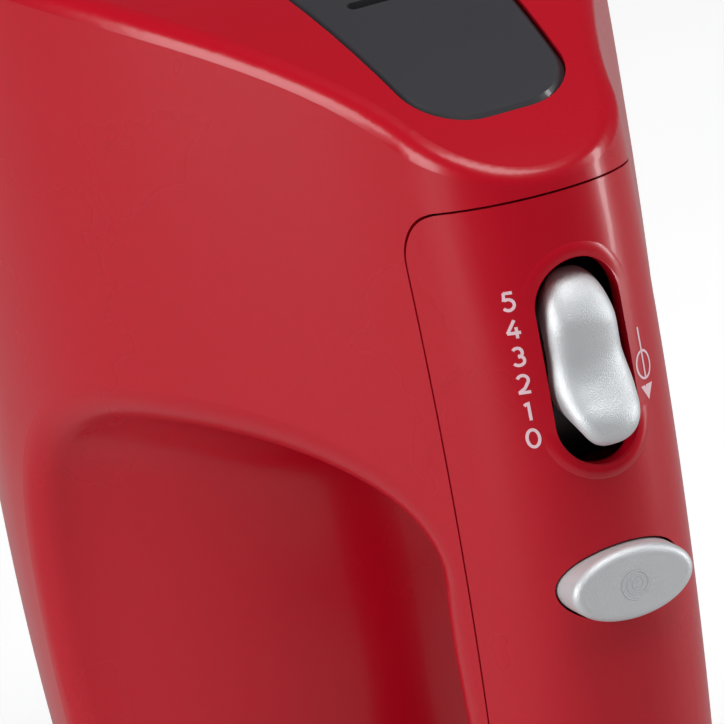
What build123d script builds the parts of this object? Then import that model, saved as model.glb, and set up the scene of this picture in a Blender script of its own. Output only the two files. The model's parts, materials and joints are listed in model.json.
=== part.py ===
"""Hand mixer, standing on its heel: nose up (+Z), handle and controls to +X, beaters to -X, right side +Y.

Millimetres. The origin is the centre of the flat heel foot. The handle's top line is one long arc; the
housing is an egg-shaped loft along Z with the finger opening cut through it along Y.
"""

from build123d import *
import os
from math import asin, cos, degrees, pi, radians, sin, sqrt

os.makedirs("parts", exist_ok=True)

# ---- driving dimensions: casing -------------------------------------------------------------------------
WALL = 2.4
SEAM = 0.3  # open joint between two casing pieces
ARC_R, ARC_X, ARC_Z = 400.0, 55.0, 59.0  # handle's top line: radius, and its outermost point
# height, underside x, widest x, half width, top radius: the stations of the egg-shaped loft
STATIONS = [
    (-6.0, -76.0, -24.0, 37.0, 15.0),
    (35.0, -82.0, -33.0, 42.5, 15.5),
    (80.0, -89.0, -42.0, 46.5, 16.0),
    (125.0, -94.0, -47.0, 47.5, 16.6),
    (165.0, -96.0, -50.0, 47.0, 17.2),
    (218.0, -94.0, -52.0, 41.0, 17.2),
]
NOSE_R, NOSE_X, NOSE_Z = 180.0, -32.0, 4.3  # front face: a cylinder across the nose
NOSE_EDGE = 3.0
HEEL_Z = 1.2  # the shell stops here; the rubber foot carries on to z = 0
OPENING_EDGE = 6.5
GRIP = 26.0  # handle depth, top line to finger opening
SPLIT = 17.0  # height of the base cover above the underside

# ---- driving dimensions: controls -----------------------------------------------------------------------
KNOB_Z, BUTTON_Z = 144.0, 113.5
AXLE_DEPTH = 20.0  # knob's axle below the handle's top line
KNOB_W, KNOB_EDGE = 10.6, 2.6
SLOT_L, SLOT_W = 28.6, 12.8
BUTTON_A, BUTTON_B = 9.2, 5.1
COVER_DEPTH, COVER_CORNER = 15.0, 7.0
COVER_TOP_Z, COVER_END_Z = 167.0, 36.0

# ---- driving dimensions: drive --------------------------------------------------------------------------
MOTOR_X = -46.0
BEATER_Z, BEATER_Y = 150.0, 19.0
MODULE, TEETH, WHEEL_W = 1.0, 28, 7.0
WORM_PITCH_R = BEATER_Y - MODULE * TEETH / 2
LEAD = pi * MODULE
SHAFT_R, SPINDLE_R, BEATER_R = 3.0, 5.5, 3.1


def top_x(z):
    """x of the handle's top line at height z."""
    return ARC_X - ARC_R + sqrt(ARC_R**2 - (z - ARC_Z) ** 2)


def control_plane(z, depth=0.0):
    """Plane on the handle's top line: local x to +Y, local y towards the nose, local z outwards."""
    lean = asin((z - ARC_Z) / ARC_R)
    out = Vector(cos(lean), 0, sin(lean))
    return Plane(Vector(top_x(z), 0, z) - out * depth, x_dir=(0, 1, 0), z_dir=out)


def keep(name, builder):
    """Labels a finished piece and writes it."""
    builder.part.label = name
    export_step(builder.part, f"parts/{name}.step")


# ---- casing solids --------------------------------------------------------------------------------------
def egg_section(z, underside, widest, half, radius, inset):
    top, underside, half, radius = top_x(z) - inset, underside + inset, half - inset, radius - inset
    with BuildSketch(Plane.XY.offset(z)) as section:
        with BuildLine():
            crown = CenterArc((top - radius, 0), radius, 0, 74)
            reach = top - radius - widest
            shoulder = crown @ 1 + (crown % 1) * 0.30 * reach
            Bezier(crown @ 1, shoulder, (widest + 0.45 * reach, half), (widest, half))
            belly = widest - 0.55 * (widest - underside)
            Bezier((widest, half), (belly, half), (underside, 0.62 * half), (underside, 0))
            mirror(about=Plane.XZ)
        make_face()
    return section.sketch


def egg(inset):
    with BuildPart() as solid:
        loft([egg_section(*station, inset) for station in STATIONS])
    return solid.part


def opening_section(y, grow):
    """The finger opening's outline at width y. It flares towards both sides, and more beside the body."""
    flare = min((y / 24) ** 2, 2.4)
    grip, body, front = 9 * flare + grow, 8 * flare + grow, 3 * flare + grow
    with BuildSketch(Plane.XZ.offset(-y)) as outline:
        with BuildLine():
            Spline(
                (top_x(110) - GRIP - 1 + 0.8 * grip, 109 + 0.8 * front),
                (top_x(86) - GRIP + grip, 82),
                (top_x(56) - GRIP + grip, 56),
                (18 + 0.7 * grip, 36 - 0.7 * front),
                (3, 28 - front),
                (-8 - 0.7 * body, 37 - 0.6 * front),
                (-11 - body, 58),
                (-14 - body, 86),
                (-15 - 0.8 * body, 107 + 0.6 * front),
                (-4, 118.5 + front),
                (13, 119 + 0.9 * front),
                periodic=True,
            )
        make_face()
    return outline.sketch


def opening(grow):
    with BuildPart() as solid:
        loft([opening_section(y, grow) for y in (-60, -36, -24, -12, 0, 12, 24, 36, 60)])
    return solid.part


def nose_cylinder(inset, half_width=70.0):
    with BuildPart() as solid:
        with BuildSketch(Plane.XZ):
            with Locations((NOSE_X, NOSE_Z)):
                Circle(NOSE_R - inset)
        extrude(amount=half_width, both=True)
    return solid.part


def prism(sketch_points, half_width=70.0):
    """A polygon in the XZ plane, extruded to both sides."""
    with BuildPart() as solid:
        with BuildSketch(Plane.XZ):
            with BuildLine():
                Polyline(*sketch_points, close=True)
            make_face()
        extrude(amount=half_width, both=True)
    return solid.part


def outer_solid():
    with BuildPart() as solid:
        add(egg(0))
        add(nose_cylinder(0), mode=Mode.INTERSECT)
        with Locations((0, 0, HEEL_Z)):
            Box(400, 200, 400, align=(Align.CENTER, Align.CENTER, Align.MIN), mode=Mode.INTERSECT)
        fillet(solid.edges().filter_by(lambda edge: edge.center().Z > 150), radius=NOSE_EDGE)
        fillet(solid.edges().filter_by(lambda edge: edge.center().Z < HEEL_Z + 1), radius=3.5)
        add(opening(0), mode=Mode.SUBTRACT)
        rims = [
            e for e in solid.edges() if abs(e.center().Y) > 30 and 20 < e.center().Z < 80 and e.length > 250
        ]
        fillet(rims, radius=OPENING_EDGE)
    return solid.part


def inner_solid():
    with BuildPart() as solid:
        add(egg(WALL))
        add(nose_cylinder(3.2), mode=Mode.INTERSECT)
        with Locations((0, 0, HEEL_Z + WALL)):
            Box(400, 200, 400, align=(Align.CENTER, Align.CENTER, Align.MIN), mode=Mode.INTERSECT)
        add(opening(WALL), mode=Mode.SUBTRACT)
    return solid.part


def cover_region(shrink):
    """The handle cover's side view: a band along the top line with two rounded inner corners."""
    centre = (ARC_X - ARC_R, ARC_Z)
    start = degrees(asin((COVER_END_Z + shrink - ARC_Z) / ARC_R))
    end = degrees(asin((COVER_TOP_Z - shrink - ARC_Z) / ARC_R))
    inner = ARC_R - COVER_DEPTH + shrink
    with BuildPart() as solid:
        with BuildSketch(Plane.XZ) as side:
            with BuildLine():
                low = CenterArc(centre, inner, start, end - start)
                high = CenterArc(centre, ARC_R + 12, start, end - start)
                Line(low @ 0, high @ 0)
                Line(low @ 1, high @ 1)
            make_face()
            corners = side.vertices().sort_by_distance((centre[0], centre[1]))[:2]
            fillet(corners, radius=COVER_CORNER)
        extrude(amount=70, both=True)
    return solid.part


def base_region(shift):
    """Everything below the split between the main housing and the base cover."""
    line = [(STATIONS[k][1] + SPLIT - shift, STATIONS[k][0]) for k in (0, 1, 2, 3, 4)]
    return prism([(-140, -20), *line, (line[-1][0], 240), (-140, 240)])


def insert_prism(grow):
    """The nose insert's outline seen from the front: a rounded shield."""
    with BuildPart() as solid:
        with BuildSketch(Plane.XY.offset(150)) as shape:
            with BuildLine():
                Polyline((27.5, -11.5), (27.5, 11.5), (-40, 17), (-40, -17), close=True)
            make_face()
            fillet(shape.vertices().group_by(Axis.X)[-1], radius=9)
            fillet(shape.vertices().group_by(Axis.X)[0], radius=12)
            if grow:
                offset(amount=grow)
        extrude(amount=60)
    return solid.part


def vent_slots(count, first_x, pitch, length):
    """Louvre slots through the nose, side by side across X."""
    with BuildPart() as solid:
        with BuildSketch(Plane.XY.offset(150)):
            for index in range(count):
                with Locations((first_x - index * pitch, 0)):
                    SlotOverall(length, 1.8, rotation=90)
        extrude(amount=60)
    return solid.part


OUTER, INNER = outer_solid(), inner_solid()
SIDES = ((-1, "left"), (1, "right"))
FACE_X = -140.0  # clear of the underside
SPLIT_X = STATIONS[4][1] + SPLIT
SCREWS = [(62.0, 31.0), (62.0, -31.0), (172.0, 22.0), (172.0, -22.0)]  # z, y
GLAND_Z = 19.0


def split_x(z):
    """x of the split between the main housing and the base cover at height z."""
    for low, high in zip(STATIONS, STATIONS[1:5]):
        if low[0] <= z <= high[0]:
            return low[1] + (high[1] - low[1]) * (z - low[0]) / (high[0] - low[0]) + SPLIT
    return SPLIT_X


def rod(radius, x_from, x_to, y, z):
    """A round bar along X."""
    with BuildPart() as solid:
        with BuildSketch(Plane.YZ.offset(x_from)):
            with Locations((y, z)):
                Circle(radius)
        extrude(amount=x_to - x_from)
    return solid.part


def block(x_range, y_range, z_range):
    """A box given by its ranges."""
    with BuildPart() as solid:
        with Locations((sum(x_range) / 2, sum(y_range) / 2, sum(z_range) / 2)):
            Box(x_range[1] - x_range[0], y_range[1] - y_range[0], z_range[1] - z_range[0])
    return solid.part


def turned(profile):
    """A solid of revolution about the motor's axis, from its (radius, z) outline."""
    with BuildPart() as solid:
        with BuildSketch(Plane.XZ):
            with BuildLine():
                Polyline(*[(MOTOR_X + r, z) for r, z in profile], close=True)
            make_face()
        revolve(axis=Axis((MOTOR_X, 0, 0), (0, 0, 1)))
    return solid.part


def ring(inner, outer, z_from, z_to):
    return turned([(inner, z_from), (outer, z_from), (outer, z_to), (inner, z_to)])


# ---- casing ---------------------------------------------------------------------------------------------
def column(radius, x_from, x_to, z, y):
    """A round bar along X at one screw, measured from the split there."""
    start = split_x(z)
    return rod(radius, start + x_from, start + x_to, y, z)


SHELL = OUTER - INNER
BOSSES = Part() + [column(3.8, 0, 16, z, y) for z, y in SCREWS]
BOSSES += [block((split_x(z), split_x(z) + 16), sorted((y, 3 * y)), (z - 2, z + 2)) for z, y in SCREWS[:2]]
BOSSES += [block((split_x(z), split_x(z) + 16), (y - 2, y + 2), (z, 200)) for z, y in SCREWS[2:]]
VENTS = vent_slots(6, -2.0, 5.2, 17.0)
POCKET = (nose_cylinder(-20) - nose_cylinder(1.8)) & insert_prism(0.2)

with BuildPart() as main_housing:
    add(SHELL - base_region(-SEAM) - cover_region(0))
    add(BOSSES & OUTER)
    add(Part() + [column(1.5, -1, 13, z, y) for z, y in SCREWS], mode=Mode.SUBTRACT)
    add([POCKET, VENTS], mode=Mode.SUBTRACT)
    with BuildSketch(control_plane(GLAND_Z, 12)):
        Circle(6.1)
    extrude(amount=30, mode=Mode.SUBTRACT)
keep("main_housing", main_housing)

with BuildPart() as base_cover:
    add(SHELL & base_region(0))
    add((Part() + [column(4.6, -30, 0, z, y) for z, y in SCREWS]) & OUTER)
    for z, y in SCREWS:
        add([column(3.3, -40, -4, z, y), column(1.7, -40, 1, z, y)], mode=Mode.SUBTRACT)
    for side, name in SIDES:
        add(rod(9.5, FACE_X, SPLIT_X + 1, side * BEATER_Y, BEATER_Z), mode=Mode.SUBTRACT)
    for row in range(4):
        with BuildSketch(Plane.YZ.offset(FACE_X)):
            with Locations((0, 84 + 8 * row)):
                SlotOverall(30, 2.4)
        extrude(amount=70, mode=Mode.SUBTRACT)
keep("base_cover", base_cover)

with BuildPart() as handle_cover:
    add(SHELL & cover_region(SEAM))
    with BuildSketch(control_plane(KNOB_Z, 12)):
        SlotOverall(SLOT_L, SLOT_W, rotation=90)
    extrude(amount=24, mode=Mode.SUBTRACT)
    with BuildSketch(control_plane(BUTTON_Z, 12)):
        Ellipse(BUTTON_A + 0.35, BUTTON_B + 0.35)
    extrude(amount=24, mode=Mode.SUBTRACT)
keep("handle_cover", handle_cover)

with BuildPart() as nose_insert:
    add((nose_cylinder(0) - nose_cylinder(1.8)) & insert_prism(0))
    front = [face for face in nose_insert.faces() if face.area > 1000]
    chamfer(max(front, key=lambda face: face.center().Z).edges(), length=0.9)
    add(VENTS, mode=Mode.SUBTRACT)
keep("nose_insert", nose_insert)

with BuildPart() as heel_foot:
    with BuildSketch() as foot_outline:
        add(egg_section(*STATIONS[0], 5.0).moved(Location((0, 0, -STATIONS[0][0]))))
    extrude(amount=HEEL_Z)
keep("heel_foot", heel_foot)

with BuildPart() as cable_gland:
    with BuildSketch(control_plane(GLAND_Z, 7)):
        Circle(6.0)
    extrude(amount=9)
    with BuildSketch(control_plane(GLAND_Z)):
        Circle(7.4)
    extrude(amount=2.0)
    with BuildSketch(control_plane(GLAND_Z, 8)):
        Circle(3.5)
    extrude(amount=12, mode=Mode.SUBTRACT)
keep("cable_gland", cable_gland)

for side, name in SIDES:
    with BuildPart() as socket_ring:
        add(rod(9.4, SPLIT_X - 18.5, SPLIT_X - 7, side * BEATER_Y, BEATER_Z))
        chamfer(socket_ring.edges().sort_by(Axis.X)[0], length=1.2)
        add(rod(SPINDLE_R + 0.05, FACE_X, SPLIT_X, side * BEATER_Y, BEATER_Z), mode=Mode.SUBTRACT)
    keep(name + "_socket_ring", socket_ring)

with BuildPart() as housing_screws:
    for z, y in SCREWS:
        add(rod(3.0, split_x(z) - 6.4, split_x(z) - 4, y, z))
        add(rod(1.5, split_x(z) - 4, split_x(z) + 11, y, z))
        head = (split_x(z) - 6.5, split_x(z) - 5.4)
        add(block(head, (y - 2, y + 2), (z - 0.4, z + 0.4)), mode=Mode.SUBTRACT)
keep("housing_screws", housing_screws)

# ---- speed knob, eject rocker and yoke ------------------------------------------------------------------
knob_plane = control_plane(KNOB_Z, AXLE_DEPTH)
AXLE = knob_plane.origin
knob_side = Plane(AXLE, x_dir=knob_plane.z_dir, z_dir=(0, -1, 0))  # local x outwards, local y to the nose


def on_rim(angle, radius):
    return (radius * cos(radians(angle)), radius * sin(radians(angle)))


RIM = [
    (-78, 20.4), (-50, 20.6), (-31, 21.4), (-17, 24.2), (-5, 22.4),
    (7, 20.9), (19, 21.4), (30, 21.5), (52, 20.8),
]
with BuildPart() as speed_knob:
    with BuildSketch(knob_side):
        with BuildLine():
            rim = Spline(*[on_rim(angle, radius) for angle, radius in RIM])
            Line(rim @ 1, on_rim(52, 16))
            RadiusArc(on_rim(52, 16), on_rim(-78, 16), 16)
            Line(on_rim(-78, 16), rim @ 0)
        make_face()
    extrude(amount=KNOB_W / 2, both=True)
    curved = speed_knob.edges().filter_by(GeomType.BSPLINE)
    fillet([edge for edge in curved if abs(edge.center().Y) > KNOB_W / 4], radius=KNOB_EDGE)
    with BuildSketch(knob_side):
        Circle(16.4)
        Circle(5.2, mode=Mode.SUBTRACT)
    extrude(amount=1.5, both=True)
    with BuildSketch(knob_side):
        Circle(5.2)
        Circle(2.05, mode=Mode.SUBTRACT)
    extrude(amount=4.0, both=True)
keep("speed_knob", speed_knob)

with BuildPart() as eject_rocker:
    with BuildSketch(knob_side):
        Circle(2.0)
    extrude(amount=10.4, both=True)
    for side, name in SIDES:
        with BuildSketch(Plane.XZ.offset(-side * 6.6)):
            with Locations((AXLE.X, AXLE.Z)):
                Circle(4.4)
            with Locations((AXLE.X - 12.25, AXLE.Z)):
                Rectangle(24.5, 4.4)
            with Locations((AXLE.X - 24.5, AXLE.Z)):
                Circle(2.2)
        extrude(amount=0.9, both=True)
    with BuildSketch(Plane.XZ):
        with Locations((AXLE.X - 24.5, AXLE.Z)):
            Circle(1.9)
    extrude(amount=7.0, both=True)
keep("eject_rocker", eject_rocker)

with BuildPart() as rocker_brackets:
    for side, name in SIDES:
        with BuildSketch(Plane.XZ.offset(-side * 9.2)):
            with Locations((AXLE.X, AXLE.Z)):
                Circle(4.6)
            with Locations((AXLE.X + 2, AXLE.Z + 17)):
                Rectangle(6.0, 34)
            with Locations((AXLE.X, AXLE.Z)):
                Circle(2.05, mode=Mode.SUBTRACT)
        extrude(amount=1.1, both=True)
    add(INNER, mode=Mode.INTERSECT)
keep("rocker_brackets", rocker_brackets)

TIP = (AXLE.X - 24.5, AXLE.Z)
YOKE_X = -24.6  # yoke plate's far face
reach = 2.8 / sqrt(2)
touch = (TIP[0] - reach, TIP[1] + reach)
with BuildPart() as eject_yoke:
    with BuildSketch(Plane.XZ):
        with BuildLine():
            Polyline(
                (YOKE_X, 146.5),
                (touch[0] - 7.5, 146.5),
                (touch[0] - 7.5, touch[1] - 2.4),
                (touch[0] - 2.4, touch[1] - 2.4),
                (touch[0] + 154.5 - touch[1], 154.5),
                (YOKE_X, 154.5),
                close=True,
            )
        make_face()
    extrude(amount=4.5, both=True)
    add(block((YOKE_X, YOKE_X + 2.6), (-25, 25), (145, 156)))
keep("eject_yoke", eject_yoke)

# ---- turbo button ---------------------------------------------------------------------------------------
with BuildPart() as turbo_button:
    with BuildSketch(control_plane(BUTTON_Z, 10)):
        Ellipse(BUTTON_A, BUTTON_B)
    extrude(amount=10 + 2.4)
    fillet(turbo_button.edges().sort_by(Axis.X)[-1], radius=1.3)
    with BuildSketch(control_plane(BUTTON_Z, 10.8)):
        Ellipse(BUTTON_A + 1.0, BUTTON_B + 1.4)
    extrude(amount=1.2)
    with BuildSketch(control_plane(BUTTON_Z, 14)):
        Circle(1.8)
    extrude(amount=4)
keep("turbo_button", turbo_button)

spring_base = control_plane(BUTTON_Z, 17.5)
with BuildPart() as turbo_spring:
    with BuildLine() as coil_path:
        Helix(pitch=1.6, height=6.2, radius=3.0, center=spring_base.origin, direction=spring_base.z_dir)
    with BuildSketch(Plane(coil_path.line @ 0, z_dir=coil_path.line % 0)):
        Circle(0.35)
    sweep(is_frenet=True)
keep("turbo_spring", turbo_spring)

with BuildPart() as turbo_switch:
    with BuildSketch(control_plane(BUTTON_Z, 22)):
        Rectangle(13, 9)
    extrude(amount=4)
    with BuildSketch(control_plane(BUTTON_Z, 18)):
        Circle(1.5)
    extrude(amount=0.8)
keep("turbo_switch", turbo_switch)

# ---- motor ----------------------------------------------------------------------------------------------
with BuildPart() as stator_core:
    add(ring(15.6, 21.5, 54, 88))
    add(block((MOTOR_X - 30, MOTOR_X + 30), (-17.5, 17.5), (50, 92)), mode=Mode.INTERSECT)
keep("stator_core", stator_core)

with BuildPart() as field_coils:
    for z_from, z_to in ((48.5, 53.9), (88.1, 93.5)):
        add(ring(16.4, 20.4, z_from, z_to))
keep("field_coils", field_coils)

with BuildPart() as armature_core:
    add(ring(SHAFT_R, 15.0, 55, 87))
    with BuildSketch(Plane.XY.offset(55)):
        with Locations((MOTOR_X, 0)):
            with PolarLocations(13.4, 12):
                Rectangle(4.4, 1.8)
    extrude(amount=32, mode=Mode.SUBTRACT)
keep("armature_core", armature_core)

with BuildPart() as armature_winding:
    for low, high in ((49.5, 54.9), (87.1, 92.5)):
        middle = (low + high) / 2
        add(turned([(SHAFT_R + 1, low), (10.5, low), (13.2, middle), (10.5, high), (SHAFT_R + 1, high)]))
keep("armature_winding", armature_winding)

with BuildPart() as commutator:
    add(ring(SHAFT_R, 8.0, 98, 109))
    with BuildSketch(Plane.XY.offset(98)):
        with Locations((MOTOR_X, 0)):
            with PolarLocations(7.6, 16):
                Rectangle(1.6, 0.5)
    extrude(amount=11, mode=Mode.SUBTRACT)
keep("commutator", commutator)

with BuildPart() as cooling_fan:
    add(ring(SHAFT_R, 6.0, 38.5, 46))
    add(ring(5.0, 17.0, 38.5, 40.0))
    with BuildSketch(Plane.XY.offset(40)):
        with Locations((MOTOR_X, 0)):
            with PolarLocations(11, 11):
                Rectangle(11.0, 1.1, rotation=24)
    extrude(amount=5.5)
keep("cooling_fan", cooling_fan)

with BuildPart() as motor_shaft:
    add(turned([(0, 28), (SHAFT_R, 28), (SHAFT_R, 172), (0, 172)]))
keep("motor_shaft", motor_shaft)

with BuildPart() as motor_bearings:
    for z_from, z_to in ((30.5, 36.5), (114.5, 120.5), (168.0, 172.0)):
        add(ring(SHAFT_R + 0.05, 6.0, z_from, z_to))
keep("motor_bearings", motor_bearings)

with BuildPart() as motor_brackets:
    add(ring(6.0, 14.0, 32, 35))
    add(block((MOTOR_X - 4, MOTOR_X + 4), (9, 60), (32, 35)))
    add(block((MOTOR_X - 4, MOTOR_X + 4), (-60, -9), (32, 35)))
    add(ring(6.0, 19.5, 116, 119))
    add(block((MOTOR_X - 7, MOTOR_X + 7), (17, 60), (116, 119)))
    add(block((MOTOR_X - 7, MOTOR_X + 7), (-60, -17), (116, 119)))
    for side in (-1, 1):
        add(block((MOTOR_X - 6, MOTOR_X + 6), (19.5, 60) if side > 0 else (-60, -19.5), (62, 80)))
    add(INNER, mode=Mode.INTERSECT)
    add(ring(0.5, 21.5, 50, 92), mode=Mode.SUBTRACT)
    add(stator_core.part, mode=Mode.SUBTRACT)
keep("motor_brackets", motor_brackets)

with BuildPart() as brush_holders:
    for side in (-1, 1):
        add(block((MOTOR_X - 4.5, MOTOR_X + 4.5), (9.5, 27) if side > 0 else (-27, -9.5), (99.5, 116)))
        slot = block((MOTOR_X - 3.05, MOTOR_X + 3.05), (9, 25.5) if side > 0 else (-25.5, -9), (100.9, 106.1))
        add(slot, mode=Mode.SUBTRACT)
keep("brush_holders", brush_holders)

with BuildPart() as carbon_brushes:
    for side in (-1, 1):
        add(block((MOTOR_X - 3, MOTOR_X + 3), (8.1, 18) if side > 0 else (-18, -8.1), (101, 106)))
keep("carbon_brushes", carbon_brushes)

with BuildPart() as brush_springs:
    for side in (-1, 1):
        with BuildSketch(Plane.XZ.offset(-18.1 * side)):
            with Locations((MOTOR_X, 103.5)):
                Circle(2.0)
                Circle(1.3, mode=Mode.SUBTRACT)
        extrude(amount=-7.2 * side)
keep("brush_springs", brush_springs)

# ---- worm and wheels ------------------------------------------------------------------------------------
PITCH_R = MODULE * TEETH / 2
TWIST = degrees(WHEEL_W / 2 * LEAD / (pi * WORM_PITCH_R) / PITCH_R)


def wheel_outline(x, turn, y):
    """Straight-flanked teeth with running backlash, one of them pointing along Y before the turn."""
    points = []
    for tooth in range(TEETH):
        for offset, radius in ((-3.9, 12.75), (-1.55, 14.95), (1.55, 14.95), (3.9, 12.75)):
            angle = radians(tooth * 360 / TEETH + offset + turn)
            points.append((radius * cos(angle), radius * sin(angle)))
    with BuildSketch(Plane.YZ.offset(x)) as outline:
        with Locations((y, BEATER_Z)):
            Polygon(*points, align=None)
    return outline.sketch


for side, name in SIDES:
    with BuildPart() as wheel:
        steps = [k / 2 for k in (-2, -1, 0, 1, 2)]
        loft(
            [wheel_outline(MOTOR_X + k * WHEEL_W / 2, k * TWIST, side * BEATER_Y) for k in steps],
            ruled=True,
        )
        add(rod(SPINDLE_R, -60, -30, side * BEATER_Y, BEATER_Z), mode=Mode.SUBTRACT)
    keep(name + "_gear", wheel)
    with BuildPart() as spindle:
        add(rod(SPINDLE_R, -90, -33, side * BEATER_Y, BEATER_Z))
        add(rod(BEATER_R + 0.05, -91, -30, side * BEATER_Y, BEATER_Z), mode=Mode.SUBTRACT)
    keep(name + "_spindle", spindle)
    with BuildPart() as pin:
        add(rod(BEATER_R, -52, -26, side * BEATER_Y, BEATER_Z))
        add(rod(4.6, -27.6, -25, side * BEATER_Y, BEATER_Z))
    keep(name + "_eject_pin", pin)

with BuildPart() as thread:
    first = (MOTOR_X, 0, BEATER_Z - 4 * LEAD)
    with BuildLine() as thread_path:
        Helix(pitch=2 * LEAD, height=8 * LEAD, radius=WORM_PITCH_R, center=first, direction=(0, 0, 1))
    with BuildSketch(Plane(thread_path.line @ 0, x_dir=(1, 0, 0), z_dir=thread_path.line % 0)):
        Polygon((-1.5, -0.95), (1.0, -0.36), (1.0, 0.36), (-1.5, 0.95), align=None)
    sweep(is_frenet=True)

with BuildPart() as worm:
    add(ring(SHAFT_R, 3.7, 134, 166))
    add(thread.part)
    add(thread.part.rotate(Axis((MOTOR_X, 0, 0), (0, 0, 1)), 180))
keep("worm", worm)

with BuildPart() as gear_frame:
    add(block((-37, -34), (-36, 36), (131, 171)))
    for side, name in SIDES:
        add([rod(2.5, -55, -36, side * 33, 168), rod(2.5, -55, -36, side * 33, 132)])
        add(rod(SPINDLE_R + 0.05, -60, -30, side * BEATER_Y, BEATER_Z), mode=Mode.SUBTRACT)
    add(block((-46, -36), (-7, 7), (168.4, 171)))
    add(ring(0.5, 6.0, 160, 175), mode=Mode.SUBTRACT)
    add(ring(0.0, 1.0, 160, 175), mode=Mode.SUBTRACT)
keep("gear_frame", gear_frame)

with BuildPart() as gear_cover:
    add(block((-58, -55), (-36, 36), (129, 171)))
    for side, name in SIDES:
        add(rod(SPINDLE_R + 0.05, -60, -30, side * BEATER_Y, BEATER_Z), mode=Mode.SUBTRACT)
keep("gear_cover", gear_cover)

# ---- mains side -----------------------------------------------------------------------------------------
with BuildPart() as circuit_board:
    add(block((-36, 16), (-17, 17), (10, 11.6)))
keep("circuit_board", circuit_board)

with BuildPart() as capacitor:
    with BuildSketch(Plane.XY.offset(11.6)):
        with Locations((6, 7), (6, -7)):
            Circle(4.0)
    extrude(amount=9)
keep("capacitor", capacitor)

with BuildPart() as heat_sink:
    add(block((-30, -12), (-12, 12), (11.6, 13.4)))
    for fin in range(5):
        add(block((-30 + 4.1 * fin, -28.4 + 4.1 * fin), (-12, 12), (13.4, 20)))
keep("heat_sink", heat_sink)

with BuildPart() as speed_switch:
    add(block((6, 20), (11.8, 19), (131, 145)))
    add(block((10, 16), (13, 17), (145, 147)))
keep("speed_switch", speed_switch)

# ---- beaters --------------------------------------------------------------------------------------------
CAGE = [(-121.0, 1.6), (-131.0, 15.0), (-150.0, 21.6), (-180.0, 21.6), (-202.0, 15.0), (-212.0, 1.6)]
for side, name in SIDES:
    with BuildPart() as beater:
        add(rod(BEATER_R, -122, -52.1, side * BEATER_Y, BEATER_Z))
        add(rod(6.0, -102, -99.6, side * BEATER_Y, BEATER_Z))
        add(rod(4.0, -124, -117, side * BEATER_Y, BEATER_Z))
        add(rod(3.4, -214, -210.4, side * BEATER_Y, BEATER_Z))
        for wire in range(4):
            angle = radians(90 * wire + (45 if side > 0 else 0))
            centre = (side * BEATER_Y, BEATER_Z)
            path = [(x, centre[0] + r * cos(angle), centre[1] + r * sin(angle)) for x, r in CAGE]
            with BuildLine() as loop:
                Spline(*path)
            with BuildSketch(Plane(loop.line @ 0, z_dir=loop.line % 0)):
                Circle(1.1)
            sweep(path=loop.line)
    keep(name + "_beater", beater)
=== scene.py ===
import json
import math

import bmesh
import bpy
from mathutils import Matrix, Vector
from mathutils.bvhtree import BVHTree


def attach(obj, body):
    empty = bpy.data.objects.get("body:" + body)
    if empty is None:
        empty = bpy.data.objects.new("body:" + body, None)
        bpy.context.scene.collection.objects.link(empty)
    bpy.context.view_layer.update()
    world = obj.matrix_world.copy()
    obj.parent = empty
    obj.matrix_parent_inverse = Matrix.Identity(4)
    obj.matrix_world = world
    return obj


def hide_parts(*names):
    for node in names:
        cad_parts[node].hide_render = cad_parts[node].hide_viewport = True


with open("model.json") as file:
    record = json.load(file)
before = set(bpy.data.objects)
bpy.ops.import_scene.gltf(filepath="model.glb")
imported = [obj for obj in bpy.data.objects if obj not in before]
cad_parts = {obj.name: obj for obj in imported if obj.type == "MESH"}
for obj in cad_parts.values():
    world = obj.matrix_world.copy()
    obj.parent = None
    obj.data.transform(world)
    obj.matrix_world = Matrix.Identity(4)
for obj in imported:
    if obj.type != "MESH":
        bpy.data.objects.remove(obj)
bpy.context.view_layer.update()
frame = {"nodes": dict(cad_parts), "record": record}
NODES = frame["nodes"]

# The handle's top line: one arc in the XZ plane, in metres.
ARC_R, ARC_X, ARC_Z = 0.400, 0.055, 0.059
KNOB_Z, BUTTON_Z = 0.144, 0.1135


def face_frame(z):
    """Origin, side, up and outward directions on the handle's top line at height z."""
    lean = math.asin((z - ARC_Z) / ARC_R)
    x = ARC_X - ARC_R + math.sqrt(ARC_R**2 - (z - ARC_Z) ** 2)
    out = Vector((math.cos(lean), 0, math.sin(lean)))
    up = Vector((-math.sin(lean), 0, math.cos(lean)))
    return Vector((x, 0, z)), Vector((0, 1, 0)), up, out


# ---- camera ---------------------------------------------------------------------------------------------
def make_camera():
    """Looks at the handle's top from its left and from above, as the photo does, in metres."""
    towards = Vector((0.823, -0.385, 0.419)).normalized()
    roll, distance, sensor = math.radians(5.4), 0.9, 36
    picture_width = 0.0965333  # at the anchor's distance
    # The anchor shows this far right of and above the middle of the picture.
    anchor, aside, above = Vector((0.0443, 0, 0.145)), 0.0298667, 0.0016
    level = Vector((-towards.y, towards.x, 0)).normalized()
    upright = towards.cross(level)
    right = level * math.cos(roll) - upright * math.sin(roll)
    up = upright * math.cos(roll) + level * math.sin(roll)
    target = anchor - right * aside - up * above
    data = bpy.data.cameras.new("camera")
    camera = bpy.data.objects.new("camera", data)
    bpy.context.scene.collection.objects.link(camera)
    pose = Matrix((right, up, towards)).transposed().to_4x4()
    pose.translation = target + towards * distance
    camera.matrix_world = pose
    data.sensor_width = sensor
    data.lens = sensor * distance / picture_width
    data.clip_start = 0.01
    data.clip_end = 20
    bpy.context.scene.camera = camera


make_camera()


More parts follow.
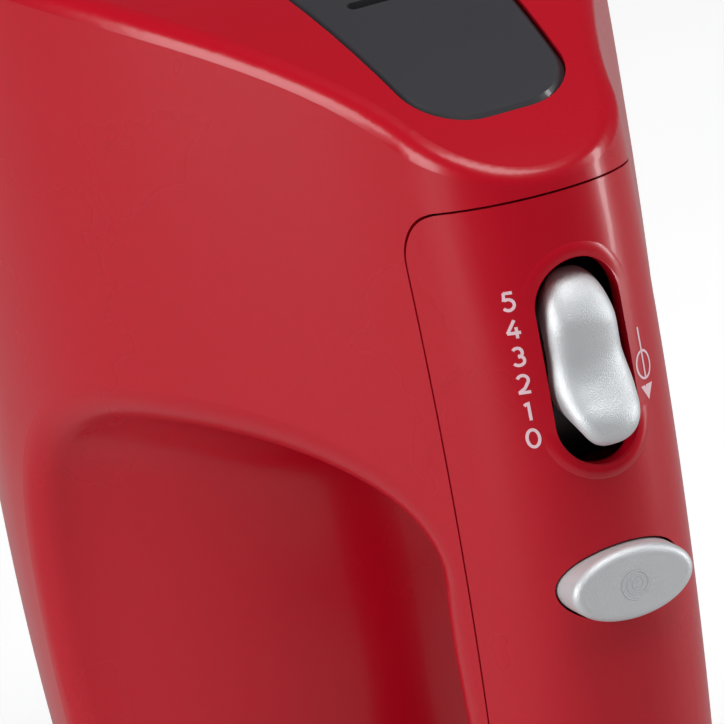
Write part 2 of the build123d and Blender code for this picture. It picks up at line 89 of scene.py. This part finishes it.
# ---- materials ------------------------------------------------------------------------------------------
def material(name, colour, other, roughness, metallic=0.0, coat=0.0, bump=0.02, scale=900.0, spread=0.04):
    """A surface with two close tones, uneven roughness and a fine moulded or turned grain."""
    made = bpy.data.materials.new(name)
    made.use_nodes = True
    nodes, links = made.node_tree.nodes, made.node_tree.links
    shader = nodes["Principled BSDF"]
    shader.inputs["Metallic"].default_value = metallic
    shader.inputs["Coat Weight"].default_value = coat
    shader.inputs["Coat Roughness"].default_value = 0.06
    shader.inputs["Specular IOR Level"].default_value = 0.36
    place = nodes.new("ShaderNodeTexCoord")
    slow = nodes.new("ShaderNodeTexNoise")
    slow.inputs["Scale"].default_value = 30.0
    slow.inputs["Detail"].default_value = 4.0
    links.new(place.outputs["Object"], slow.inputs["Vector"])
    tone = nodes.new("ShaderNodeMix")
    tone.data_type = "RGBA"
    tone.inputs["A"].default_value = (*colour, 1)
    tone.inputs["B"].default_value = (*other, 1)
    links.new(slow.outputs["Fac"], tone.inputs["Factor"])
    links.new(tone.outputs["Result"], shader.inputs["Base Color"])
    rough = nodes.new("ShaderNodeMapRange")
    rough.inputs["To Min"].default_value = roughness - spread
    rough.inputs["To Max"].default_value = roughness + spread
    links.new(slow.outputs["Fac"], rough.inputs["Value"])
    links.new(rough.outputs["Result"], shader.inputs["Roughness"])
    fine = nodes.new("ShaderNodeTexNoise")
    fine.inputs["Scale"].default_value = scale
    fine.inputs["Detail"].default_value = 3.0
    links.new(place.outputs["Object"], fine.inputs["Vector"])
    relief = nodes.new("ShaderNodeBump")
    relief.inputs["Strength"].default_value = bump
    relief.inputs["Distance"].default_value = 0.0002
    links.new(fine.outputs["Fac"], relief.inputs["Height"])
    links.new(relief.outputs["Normal"], shader.inputs["Normal"])
    return made


LOOKS = {
    "red_shell": material(
        "red_gloss", (0.52, 0.0015, 0.014), (0.47, 0.0015, 0.013), 0.28, coat=0.12, bump=0.012, scale=500
    ),
    "silver_knob": material(
        "silver_satin", (0.74, 0.76, 0.78), (0.65, 0.67, 0.69), 0.45, 0.50, bump=0.36, scale=5600
    ),
    "charcoal": material(
        "charcoal_satin", (0.050, 0.048, 0.055), (0.035, 0.034, 0.040), 0.34, coat=0.25, bump=0.05
    ),
    "foot_rubber": material("foot_rubber", (0.030, 0.030, 0.031), (0.020, 0.020, 0.021), 0.8, bump=0.3),
    "black_plastic": material("black_plastic", (0.030, 0.030, 0.032), (0.020, 0.020, 0.022), 0.5, bump=0.12),
    "white_nylon": material("white_nylon", (0.72, 0.71, 0.66), (0.64, 0.63, 0.58), 0.48, bump=0.06),
    "steel": material(
        "steel_turned", (0.55, 0.55, 0.56), (0.45, 0.45, 0.46), 0.32, 1.0, bump=0.08, scale=2200
    ),
    "chrome": material("chrome_polished", (0.80, 0.80, 0.81), (0.74, 0.74, 0.75), 0.09, 1.0, bump=0.01),
    "copper": material(
        "copper_enamel", (0.56, 0.22, 0.09), (0.44, 0.16, 0.07), 0.35, 0.9, bump=0.3, scale=1500
    ),
    "carbon": material("carbon_block", (0.040, 0.040, 0.045), (0.028, 0.028, 0.032), 0.6, bump=0.3),
    "bronze": material("bronze_sintered", (0.50, 0.31, 0.12), (0.42, 0.26, 0.10), 0.45, 0.9, bump=0.3),
    "aluminium": material(
        "aluminium_cast", (0.60, 0.60, 0.62), (0.50, 0.50, 0.52), 0.42, 0.95, bump=0.25, scale=1400
    ),
    "board": material("board_laminate", (0.020, 0.13, 0.045), (0.016, 0.10, 0.035), 0.4, coat=0.2, bump=0.1),
}
PRINT = material("white_print", (0.90, 0.62, 0.68), (0.84, 0.56, 0.62), 0.45, bump=0.03)
MARK = material("button_mark", (0.80, 0.81, 0.84), (0.74, 0.75, 0.78), 0.28, 0.55, bump=0.03)

for entry in frame["record"]["subparts"]:
    for held in NODES[entry["node"]].material_slots:
        held.material = LOOKS[entry["material_slot"]]


# ---- printed marks --------------------------------------------------------------------------------------
def tree_of(node):
    probe = bmesh.new()
    probe.from_mesh(NODES[node].data)
    probe.transform(NODES[node].matrix_world)
    tree = BVHTree.FromBMesh(probe)
    probe.free()
    return tree


COVER = tree_of("handle_cover")
BUTTON = tree_of("turbo_button")
LAYER = 0.00005  # how far ink stands on the surface


def lay_on(piece, tree, z, y, along, normal_y=0.0, layer=LAYER):
    """Puts a flat mesh, drawn about its own origin in its XY plane, onto the control face."""
    origin, side, up, out = face_frame(z)
    out = (out + side * normal_y).normalized()
    side = up.cross(out)
    centre = origin + Vector((0, y, 0)) + up * along
    for vertex in piece.data.vertices:
        start = centre + side * vertex.co.x + up * vertex.co.y + out * 0.02
        hit, normal, index, distance = tree.ray_cast(start, -out)
        vertex.co = (hit if hit else start - out * 0.02) + out * layer


def shape_piece(name, outlines, look, body):
    """A flat mesh of filled polygons in metres."""
    data = bpy.data.meshes.new(name)
    shape = bmesh.new()
    for outline in outlines:
        shape.faces.new([shape.verts.new((x, y, 0)) for x, y in outline])
    shape.to_mesh(data)
    shape.free()
    piece = bpy.data.objects.new(name, data)
    bpy.context.scene.collection.objects.link(piece)
    piece.data.materials.append(look)
    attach(piece, body)
    return piece


def stroke(points, width, closed=False):
    """Quads along a line of points."""
    quads, count = [], len(points)
    edges = []
    for k in range(count):
        if closed:
            before, after = points[k - 1], points[(k + 1) % count]
        else:
            before, after = points[max(k - 1, 0)], points[min(k + 1, count - 1)]
        dx, dy = after[0] - before[0], after[1] - before[1]
        size = math.hypot(dx, dy)
        nx, ny = -dy / size * width / 2, dx / size * width / 2
        edges.append(((points[k][0] + nx, points[k][1] + ny), (points[k][0] - nx, points[k][1] - ny)))
    for k in range(count if closed else count - 1):
        a, b = edges[k], edges[(k + 1) % count]
        quads.append([a[0], a[1], b[1], b[0]])
    return quads


def ellipse(rx, ry, cx=0.0, cy=0.0, count=36):
    turns = [math.tau * k / count for k in range(count)]
    return [(cx + rx * math.cos(a), cy + ry * math.sin(a)) for a in turns]


def arc(cx, cy, rx, ry, start, end, count=14):
    """Points along part of an ellipse, angles in degrees."""
    turns = [math.radians(start + (end - start) * k / count) for k in range(count + 1)]
    return [(cx + rx * math.cos(a), cy + ry * math.sin(a)) for a in turns]


MM = 0.001
# Strokes of each digit, in a box one unit high.
DIGITS = {
    0: [arc(0, 0, 0.32, 0.46, 0, 360, 32)],
    1: [[(-0.17, 0.30), (-0.05, 0.38), (0.06, 0.46), (0.06, 0.2), (0.06, -0.5)]],
    2: [
        arc(0, 0.20, 0.28, 0.26, 160, -35) + [(0.05, -0.22), (-0.30, -0.45)],
        [(-0.32, -0.45), (0, -0.45), (0.32, -0.45)],
    ],
    3: [arc(-0.02, 0.22, 0.25, 0.24, 150, -90), arc(-0.02, -0.21, 0.30, 0.25, 90, -150)],
    4: [
        [(0.10, 0.48), (-0.12, 0.14), (-0.34, -0.20)],
        [(-0.36, -0.20), (0, -0.20), (0.36, -0.20)],
        [(0.14, 0.10), (0.14, -0.5)],
    ],
    5: [
        [(0.26, 0.46), (0, 0.46), (-0.20, 0.46)],
        [(-0.19, 0.48), (-0.24, 0.04)],
        arc(-0.04, -0.16, 0.31, 0.29, 125, -145),
    ],
}
DIGIT_PITCH, DIGIT_LOW, DIGIT_Y, DIGIT_SIZE = 3.8 * MM, -8.7 * MM, -10.5 * MM, 2.6 * MM
DIGIT_STROKE = 0.17
for value, lines in DIGITS.items():
    quads = [quad for line in lines for quad in stroke(line, DIGIT_STROKE)]
    quads = [[(x * DIGIT_SIZE, y * DIGIT_SIZE) for x, y in quad] for quad in quads]
    digit = shape_piece(f"digit_{value}", quads, PRINT, "casing")
    lay_on(digit, COVER, KNOB_Z, DIGIT_Y, DIGIT_LOW + DIGIT_PITCH * value, -0.45)

ICON_Y = 9.4 * MM
eject_mark = [
    *stroke([(0, 2.1 * MM - 0.4 * MM * k) for k in range(19)], 0.34 * MM),
    *stroke(ellipse(1.55 * MM, 1.9 * MM, 0, -3.1 * MM), 0.34 * MM, closed=True),
    [(-1.35 * MM, -5.9 * MM), (0, -8.0 * MM), (1.35 * MM, -5.9 * MM)],
]
icon = shape_piece("eject_icon", eject_mark, PRINT, "casing")
lay_on(icon, COVER, KNOB_Z, ICON_Y, 0.0, 0.45)

turns = [
    (r * MM * math.cos(a), r * MM * math.sin(a) * 0.92)
    for r, a in ((0.35 + 2.05 * k / 160, 0.9 + 2.6 * math.tau * k / 160) for k in range(161))
]
spiral = shape_piece("turbo_spiral", stroke(turns, 0.20 * MM), MARK, "button")
lay_on(spiral, BUTTON, BUTTON_Z, 0.1 * MM, 0.0, layer=0.00006)


# ---- speed knob -----------------------------------------------------------------------------------------
AXLE_DEPTH = 20 * MM  # knob's axle below the handle's top line
DRUM_R = 17.4 * MM  # the dark drum under the cap
KNOB_ORIGIN, KNOB_SIDE, KNOB_UP, KNOB_OUT = face_frame(KNOB_Z)
AXLE = KNOB_ORIGIN - KNOB_OUT * AXLE_DEPTH
# The cap's ridge from its thumb end to its nose end: along the face, height over it. Millimetres.
RIDGE = [
    (-12.5, 3.0), (-11.0, 4.3), (-9.2, 4.8), (-7.2, 4.3), (-4.8, 2.9), (-2.2, 1.6),
    (0.4, 1.0), (3.0, 1.2), (5.6, 1.35), (8.6, 0.4), (11.0, -0.7), (13.0, -1.9),
]
CAP_MIDDLE, CAP_REACH = 0.65, 11.95  # along the face
CAP_HALF, CAP_WAIST = 5.7, 0.45  # half width at the thumb end, and how much narrower it is at the nose end
CAP_CROWN, CAP_ROUND = 0.9, 2.2  # how far the section and its edge fall away
CAP_RINGS, WALL_RINGS = 32, 4


def ridge_height(along):
    """Height of the ridge, smoothed between its points."""
    index = max(k for k in range(len(RIDGE) - 1) if RIDGE[k][0] <= along or k == 0)
    xs = [RIDGE[min(max(index + j, 0), len(RIDGE) - 1)] for j in (-1, 0, 1, 2)]
    (_, h0), (x1, h1), (x2, h2), (_, h3) = xs
    t = (along - x1) / (x2 - x1)
    bend, twist = 2 * h0 - 5 * h1 + 4 * h2 - h3, 3 * h1 - h0 - 3 * h2 + h3
    return 0.5 * (2 * h1 + (h2 - h0) * t + bend * t * t + twist * t**3)


def knob_cap():
    """A thumb-worn wave with a crowned section and radial walls, on the CAD knob's axle."""
    data = bpy.data.meshes.new("knob_cap")
    shape = bmesh.new()
    around, rings = 96, []
    for step in range(1, CAP_RINGS + WALL_RINGS + 1):
        part = math.sin(min(step, CAP_RINGS) / CAP_RINGS * math.pi / 2)
        ring = []
        for k in range(around):
            turn = math.tau * k / around
            c, n = (math.copysign(abs(f) ** 0.77, f) for f in (math.cos(turn), math.sin(turn)))
            along = CAP_MIDDLE + CAP_REACH * part * c
            blend = min(max((along + 4) / 6, 0), 1)
            half = CAP_HALF - CAP_WAIST * blend * blend * (3 - 2 * blend)
            place = half * part * n
            out = ridge_height(along) - CAP_CROWN * (place / half) ** 2
            out -= CAP_ROUND * (1 - math.sqrt(max(0.0, 1 - part**5)))
            spoke = KNOB_UP * (along * MM) + KNOB_OUT * (out * MM + AXLE_DEPTH)
            wall = max(step - CAP_RINGS, 0) / WALL_RINGS
            spoke *= 1 + wall * (DRUM_R * 0.99 / spoke.length - 1)
            ring.append(shape.verts.new(AXLE + spoke + KNOB_SIDE * (place * MM)))
        rings.append(ring)
    for a, b in zip(rings, rings[1:]):
        for k in range(around):
            after = (k + 1) % around
            shape.faces.new((a[k], a[after], b[after], b[k])).smooth = True
    shape.faces.new(rings[0]).smooth = True
    bmesh.ops.recalc_face_normals(shape, faces=shape.faces)
    shape.to_mesh(data)
    shape.free()
    piece = bpy.data.objects.new("knob_cap", data)
    bpy.context.scene.collection.objects.link(piece)
    data.materials.append(LOOKS["silver_knob"])
    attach(piece, "knob")
    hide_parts("speed_knob")


def knob_skirt():
    """The dark drum that closes the slot beside and below the cap."""
    data = bpy.data.meshes.new("knob_skirt")
    shape = bmesh.new()
    half, inner = 5.2 * MM, DRUM_R - 2 * MM
    rim = [(-half, inner), (-half, DRUM_R), (half, DRUM_R), (half, inner)]
    rows = []
    for k in range(49):
        angle = math.radians(-78 + 130 * k / 48)
        spoke = KNOB_OUT * math.cos(angle) + KNOB_UP * math.sin(angle)
        rows.append([shape.verts.new(AXLE + spoke * r + KNOB_SIDE * y) for y, r in rim])
    for a, b in zip(rows, rows[1:]):
        for k in range(4):
            shape.faces.new((a[k], a[(k + 1) % 4], b[(k + 1) % 4], b[k]))
    for row in (rows[0], rows[-1]):
        shape.faces.new(row)
    bmesh.ops.recalc_face_normals(shape, faces=shape.faces)
    shape.to_mesh(data)
    shape.free()
    piece = bpy.data.objects.new("knob_skirt", data)
    bpy.context.scene.collection.objects.link(piece)
    data.materials.append(LOOKS["black_plastic"])
    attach(piece, "knob")


def slot_lip():
    """A soft raised lip at both ends of the knob's slot, fading out along its sides."""
    long, half, steps = 7.9 * MM, 6.4 * MM, 24
    path = []
    for end, start in ((1, 0), (-1, 180)):
        for k in range(steps + 1):
            angle = math.radians(start + 180 * k / steps)
            path.append((end * long, math.cos(angle), math.sin(angle)))
    data = bpy.data.meshes.new("slot_lip")
    shape = bmesh.new()
    origin, side, up, out = face_frame(KNOB_Z)
    rings = []
    for y, dx, dy in path:
        ring = []
        for k in range(9):
            reach = half + (0.12 + 2.0 * k / 8) * MM
            start = origin + side * (dx * reach) + up * (y + dy * reach) + out * 0.02
            hit, normal, index, distance = COVER.ray_cast(start, -out)
            ends = max(0.0, -dy) + 0.4 * max(0.0, dy)
            rise = 0.46 * ends * math.sin(math.pi * (0.06 + 0.94 * k / 8)) ** 0.8 - 0.03
            ring.append(shape.verts.new((hit if hit else start - out * 0.02) + normal * (rise * MM)))
        rings.append(ring)
    for a, b in zip(rings, rings[1:] + rings[:1]):
        for k in range(8):
            shape.faces.new((a[k], a[k + 1], b[k + 1], b[k])).smooth = True
    bmesh.ops.recalc_face_normals(shape, faces=shape.faces)
    shape.to_mesh(data)
    shape.free()
    piece = bpy.data.objects.new("slot_lip", data)
    bpy.context.scene.collection.objects.link(piece)
    data.materials.append(LOOKS["red_shell"])
    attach(piece, "casing")


knob_cap()
knob_skirt()
slot_lip()


# ---- stage ----------------------------------------------------------------------------------------------
def make_floor():
    data = bpy.data.meshes.new("floor")
    shape = bmesh.new()
    size = 3.0
    corners = ((-1, -1), (1, -1), (1, 1), (-1, 1))
    shape.faces.new([shape.verts.new((x * size, y * size, 0)) for x, y in corners])
    shape.to_mesh(data)
    shape.free()
    floor = bpy.data.objects.new("floor", data)
    bpy.context.scene.collection.objects.link(floor)
    pale = material("floor_pale", (0.62, 0.62, 0.62), (0.59, 0.59, 0.59), 0.75, bump=0.02)
    shader = pale.node_tree.nodes["Principled BSDF"]
    shader.inputs["Emission Color"].default_value = (1, 1, 1, 1)
    rays = pale.node_tree.nodes.new("ShaderNodeLightPath")
    glow = pale.node_tree.nodes.new("ShaderNodeMath")
    glow.operation = "MULTIPLY"
    glow.inputs[1].default_value = 0.55
    pale.node_tree.links.new(rays.outputs["Is Camera Ray"], glow.inputs[0])
    pale.node_tree.links.new(glow.outputs["Value"], shader.inputs["Emission Strength"])
    floor.data.materials.append(pale)


make_floor()


def softbox(name, place, aim, size, power, colour=(1, 1, 1)):
    data = bpy.data.lights.new(name, "AREA")
    data.shape = "RECTANGLE"
    data.size, data.size_y = size
    data.energy = power
    data.color = colour
    lamp = bpy.data.objects.new(name, data)
    bpy.context.scene.collection.objects.link(lamp)
    lamp.location = place
    lamp.rotation_mode = "QUATERNION"
    lamp.rotation_quaternion = (Vector(place) - Vector(aim)).to_track_quat("Z", "Y")


CENTRE = (0.0, 0.0, 0.12)
softbox("softbox_left", (0.10, -1.10, 0.50), CENTRE, (0.55, 0.7), 9.0)
softbox("softbox_top", (0.25, 0.10, 1.30), CENTRE, (0.6, 0.6), 8.0)
softbox("strip_right", (0.45, 1.10, 0.35), CENTRE, (0.14, 1.0), 7.0)

world = bpy.data.worlds.new("studio")
bpy.context.scene.world = world
world.use_nodes = True
world.node_tree.nodes["Background"].inputs["Color"].default_value = (0.95, 0.96, 0.98, 1)
world.node_tree.nodes["Background"].inputs["Strength"].default_value = 0.12
bpy.context.scene.view_settings.view_transform = "Standard"
